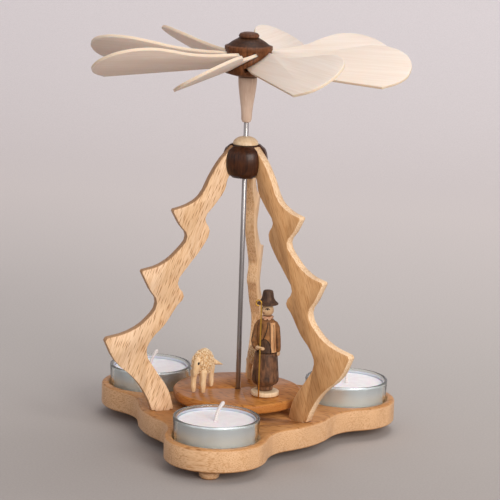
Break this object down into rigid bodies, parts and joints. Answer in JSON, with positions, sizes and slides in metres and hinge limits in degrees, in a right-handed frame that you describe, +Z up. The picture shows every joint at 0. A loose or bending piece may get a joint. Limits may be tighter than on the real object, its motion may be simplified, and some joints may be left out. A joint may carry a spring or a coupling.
{
  "type": "christmas pyramid",
  "caption": "Wooden tealight carousel with fir-shaped legs, a bladed wheel on a steel shaft and a turntable carrying a shepherd and sheep.",
  "frame": {"origin": "on the floor under the shaft, at the centre of the feet's plane", "axes": "+Z up along the shaft, -Y toward the front tealight, +X to the viewer's right"},
  "size_m": [0.174, 0.177, 0.2192],
  "materials": {
    "oiled_beech": "oiled beech with fine brown flecks",
    "pale_birch": "raw pale birch, straight fine grain",
    "turned_maple": "turned pale wood, satin",
    "stained_walnut": "dark stained, satin lacquer",
    "bright_steel": "drawn bright steel",
    "brass_wire": "drawn brass wire",
    "clear_glass": "clear, faintly green at the rim",
    "tealight_aluminium": "pressed thin aluminium",
    "white_wax": null,
    "waxed_wick": "white cotton, waxed",
    "brown_stain": "wood stained mid brown",
    "painted_face": "pale turned wood",
    "carved_limewood": "carved pale wood, curled chips"
  },
  "bodies": {
    "stand": {"base_plate": "oiled_beech", "thrust_cup": "bright_steel", "head_ball": "stained_walnut", "guide_cap": "turned_maple", "foot_front": "oiled_beech", "foot_left": "oiled_beech", "foot_right": "oiled_beech", "leg_left": "oiled_beech", "leg_right": "oiled_beech", "leg_back": "oiled_beech"},
    "wheel": {"shaft": "bright_steel", "turntable": "oiled_beech", "sleeve": "turned_maple", "hub": "stained_walnut", "hub_button": "stained_walnut", "blade_1": "pale_birch", "blade_2": "pale_birch", "blade_3": "pale_birch", "blade_4": "pale_birch", "blade_5": "pale_birch", "blade_6": "pale_birch", "blade_7": "pale_birch", "blade_8": "pale_birch", "shepherd_base": "turned_maple", "shepherd_skirt": "stained_walnut", "shepherd_jacket": "brown_stain", "shepherd_head": "painted_face", "shepherd_hat": "stained_walnut", "shepherd_arm_left": "brown_stain", "shepherd_arm_right": "brown_stain", "shepherd_hand_left": "painted_face", "shepherd_hand_right": "painted_face", "shepherd_staff": "brass_wire", "front_sheep_body": "carved_limewood", "front_sheep_head": "carved_limewood", "front_sheep_leg_1": "carved_limewood", "front_sheep_leg_2": "carved_limewood", "front_sheep_leg_3": "carved_limewood", "front_sheep_leg_4": "carved_limewood", "front_sheep_tail": "carved_limewood", "rear_sheep_body": "carved_limewood", "rear_sheep_head": "carved_limewood", "rear_sheep_leg_1": "carved_limewood", "rear_sheep_leg_2": "carved_limewood", "rear_sheep_leg_3": "carved_limewood", "rear_sheep_leg_4": "carved_limewood", "rear_sheep_tail": "carved_limewood"},
    "glass_front": {"glass_cup_front": "clear_glass"},
    "tealight_front": {"tealight_cup_front": "tealight_aluminium", "wax_front": "white_wax", "wick_front": "waxed_wick"},
    "glass_left": {"glass_cup_left": "clear_glass"},
    "tealight_left": {"tealight_cup_left": "tealight_aluminium", "wax_left": "white_wax", "wick_left": "waxed_wick"},
    "glass_right": {"glass_cup_right": "clear_glass"},
    "tealight_right": {"tealight_cup_right": "tealight_aluminium", "wax_right": "white_wax", "wick_right": "waxed_wick"}
  },
  "joints": [
    {"name": "wheel_spin", "type": "hinge", "parent": "stand", "child": "wheel", "pos_m": [0, 0, 0.012], "axis": [0, 0, 1], "continuous": true},
    {"name": "glass_lift_front", "type": "slide", "parent": "stand", "child": "glass_front", "axis": [0, 0, 1], "range_m": [0, 0.03]},
    {"name": "tealight_lift_front", "type": "slide", "parent": "glass_front", "child": "tealight_front", "axis": [0, 0, 1], "range_m": [0, 0.025]},
    {"name": "glass_lift_left", "type": "slide", "parent": "stand", "child": "glass_left", "axis": [0, 0, 1], "range_m": [0, 0.03]},
    {"name": "tealight_lift_left", "type": "slide", "parent": "glass_left", "child": "tealight_left", "axis": [0, 0, 1], "range_m": [0, 0.025]},
    {"name": "glass_lift_right", "type": "slide", "parent": "stand", "child": "glass_right", "axis": [0, 0, 1], "range_m": [0, 0.03]},
    {"name": "tealight_lift_right", "type": "slide", "parent": "glass_right", "child": "tealight_right", "axis": [0, 0, 1], "range_m": [0, 0.025]}
  ]
}
